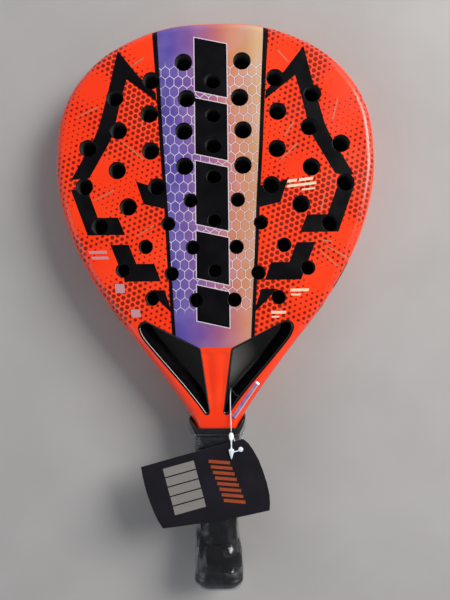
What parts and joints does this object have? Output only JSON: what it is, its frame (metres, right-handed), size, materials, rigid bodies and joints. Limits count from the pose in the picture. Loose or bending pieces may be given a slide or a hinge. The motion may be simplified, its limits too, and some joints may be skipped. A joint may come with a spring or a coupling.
{
  "type": "padel racket",
  "caption": "Teardrop padel racket with a perforated head, open throat with a strut, wrapped handle in a clear sleeve, wound wrist strap and a card tag on a string.",
  "frame": {"origin": "back face, on the long axis, between two holes of the middle column, 141.7 mm below the tip of the head", "axes": "+Y along the handle towards the tip of the head, +Z out of the front face, +X to the right when looking at the front face with the head up"},
  "size_m": [0.2584, 0.4552, 0.0416],
  "materials": {
    "face_paint": "gloss lacquer over printed orange-red paint",
    "back_paint": "gloss lacquer over printed orange-red paint",
    "frame_paint": "gloss lacquer",
    "carbon_black": "gloss black lacquer over carbon",
    "core_foam": "matt drilled foam",
    "handle_foam": "matt rigid foam",
    "handle_carbon": "satin laminate",
    "grip": "matt perforated polyurethane",
    "tape": "satin adhesive tape",
    "collar_rubber": "satin rubber",
    "cap_plastic": "moulded, fine grain",
    "strap_webbing": "woven polyester",
    "slider_plastic": "moulded",
    "clear_film": "clear, thin, creased",
    "tag_card": "coated, printed dark blue",
    "string_white": "white nylon",
    "hologram": "iridescent foil"
  },
  "bodies": {
    "root": {"frame_tube": "frame_paint", "front_face": "face_paint", "back_face": "back_paint", "foam_core": "core_foam", "throat_bridge": "carbon_black", "throat_strut": "frame_paint", "handle_shell": "handle_carbon", "handle_foam": "handle_foam", "grip_wrap": "grip", "finishing_tape": "tape", "grip_collar": "collar_rubber", "butt_cap": "cap_plastic", "strap_plug": "cap_plastic", "wrist_strap": "strap_webbing", "handle_film": "clear_film", "tag_string": "string_white", "arm_sticker": "hologram"},
    "fastener": {"tag_fastener": "string_white"},
    "tag": {"hang_tag": "tag_card"},
    "slider": {"strap_slider": "slider_plastic"}
  },
  "joints": [
    {"name": "tag_lift", "type": "hinge", "parent": "root", "child": "fastener", "pos_m": [0.0113, -0.1864, 0.0379], "axis": [-1, 0, 0], "range_deg": [0, 75]},
    {"name": "tag_swing", "type": "hinge", "parent": "fastener", "child": "tag", "pos_m": [0.0186, -0.1987, 0.0393], "axis": [0, 0, 1], "range_deg": [-5, 60]},
    {"name": "strap_slide", "type": "slide", "parent": "root", "child": "slider", "axis": [0, 0, 1], "range_m": [-0.006, 0.006]}
  ]
}
